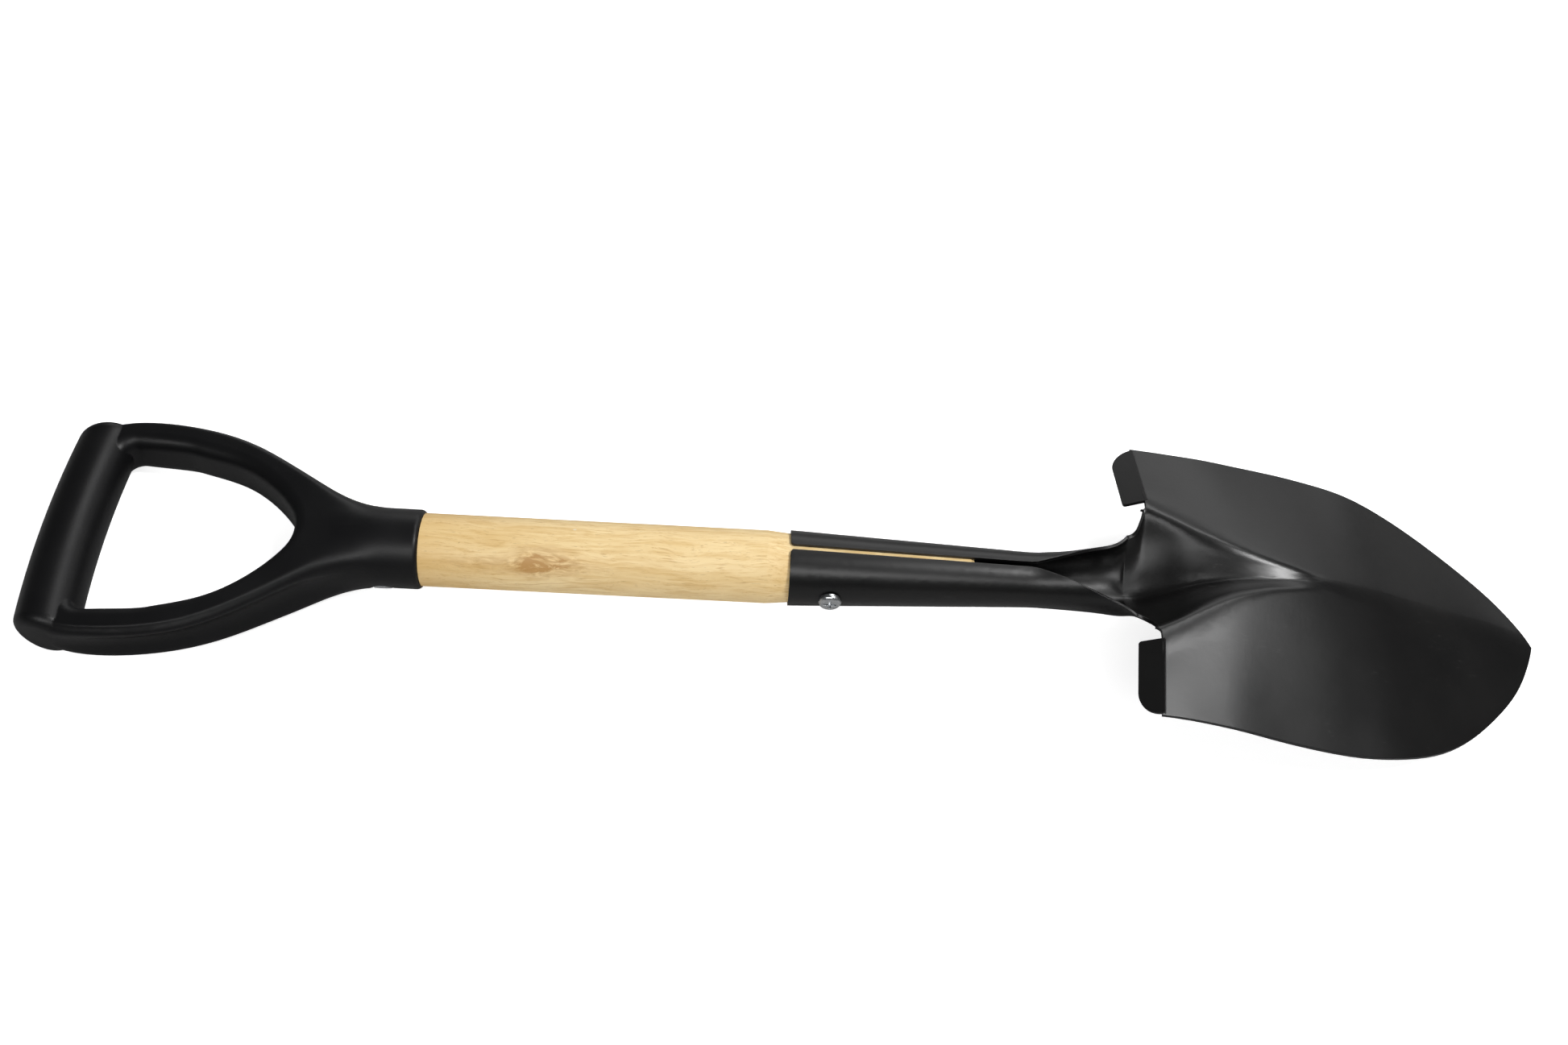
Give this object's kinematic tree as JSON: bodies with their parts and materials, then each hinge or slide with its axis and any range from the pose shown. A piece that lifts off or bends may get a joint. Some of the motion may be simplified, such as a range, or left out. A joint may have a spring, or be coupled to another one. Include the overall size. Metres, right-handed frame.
{
  "type": "garden spade",
  "caption": "Short garden spade: round-pointed pressed blade with rolled socket and turned foot steps, straight wooden shaft, moulded D-grip.",
  "frame": {"origin": "on the shaft's axis, at the middle of the full-diameter bare wood between the grip's rim and the taper at the socket", "axes": "+X along the shaft's axis towards the blade's point; +Z out of the blade's back, on the side of the socket's seam; Y across the blade and along the grip's crossbar"},
  "size_m": [0.6671, 0.1456, 0.054],
  "materials": {
    "painted_steel": "black satin paint over pressed steel sheet",
    "shaft_wood": "pale straight-grained wood under thin clear lacquer",
    "grip_plastic": "black moulded plastic with a fine satin texture",
    "zinc_screws": "bright zinc plating"
  },
  "bodies": {
    "root": {"blade": "painted_steel", "shaft": "shaft_wood", "grip": "grip_plastic", "screws": "zinc_screws"}
  },
  "joints": []
}
